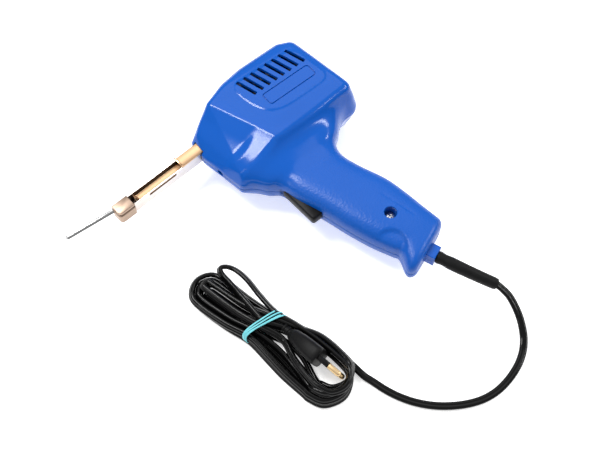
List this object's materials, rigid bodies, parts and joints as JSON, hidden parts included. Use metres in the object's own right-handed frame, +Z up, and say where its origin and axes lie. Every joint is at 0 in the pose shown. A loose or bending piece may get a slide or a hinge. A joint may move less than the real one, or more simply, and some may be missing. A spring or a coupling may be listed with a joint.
{
  "type": "soldering gun",
  "caption": "Transformer soldering gun with a blocky blue head, raked grip, pressed trigger, sheet-metal barrel with rod bit and a coiled mains lead.",
  "frame": {"origin": "on the table under the middle of the gun's footprint, the mains lead left out", "axes": "+Z up from the table with the gun lying on its side; the barrel points along -X and the grip along -Y; the casing's parting plane is at z = 28 mm"},
  "size_m": [0.2328, 0.2961, 0.056],
  "materials": {
    "casing": "glossy moulded blue plastic, finely pebbled on the grip",
    "steel": "plain bright steel",
    "nickel": "nickel-plated sheet, slightly browned by heat",
    "brass": "pale brass, satin",
    "copper": "bare copper",
    "insulator": "cream insulating board and mica",
    "lamp_glass": "clear bulb glass",
    "laminations": "varnished transformer steel",
    "black_plastic": "satin black plastic",
    "lead_brown": "brown insulated wire",
    "lead_blue": "blue insulated wire",
    "cord_rubber": "glossy black flexible PVC",
    "band_rubber": "teal rubber"
  },
  "bodies": {
    "gun": {"housing_upper": "casing", "housing_lower": "casing", "handle_screw": "steel", "arm_channel": "nickel", "arm_cover": "brass", "inner_conductor": "brass", "mica_strip": "insulator", "tip_clamp": "nickel", "tip_socket": "copper", "clamp_rivet": "steel", "soldering_bit": "steel", "lamp_bulb": "lamp_glass", "lamp_holder": "black_plastic", "transformer_core": "laminations", "coil_bobbin": "insulator", "primary_winding": "copper", "secondary_loop": "copper", "core_band": "steel", "core_screw_1": "steel", "core_screw_2": "steel", "trigger_pin": "steel", "switch_body": "black_plastic", "lead_live": "lead_brown", "lead_neutral": "lead_blue", "lead_switched": "lead_brown", "cable_clamp": "black_plastic", "cable_clamp_screw_1": "steel", "cable_clamp_screw_2": "steel", "cord_sleeve": "cord_rubber", "cord": "cord_rubber", "cord_hank": "cord_rubber", "plug_body": "cord_rubber", "plug_pin_1": "brass", "plug_pin_2": "brass", "rubber_band_1": "band_rubber", "rubber_band_2": "band_rubber"},
    "trigger": {"trigger": "black_plastic", "trigger_spring": "steel"},
    "plunger": {"switch_plunger": "insulator"}
  },
  "joints": [
    {"name": "trigger_pull", "type": "hinge", "parent": "gun", "child": "trigger", "pos_m": [0.02947, 0.00535, 0.028], "axis": [0, 0, 1], "range_deg": [0, 12], "stiffness_Nm_per_rad": 0.15, "springref_deg": -5.73},
    {"name": "plunger_push", "type": "slide", "parent": "gun", "child": "plunger", "axis": [1, 0, 0], "range_m": [0, 0.0046]}
  ],
  "couplings": [
    {"joint": "plunger_push", "follows": "trigger_pull", "m_per_rad": 0.0215}
  ]
}
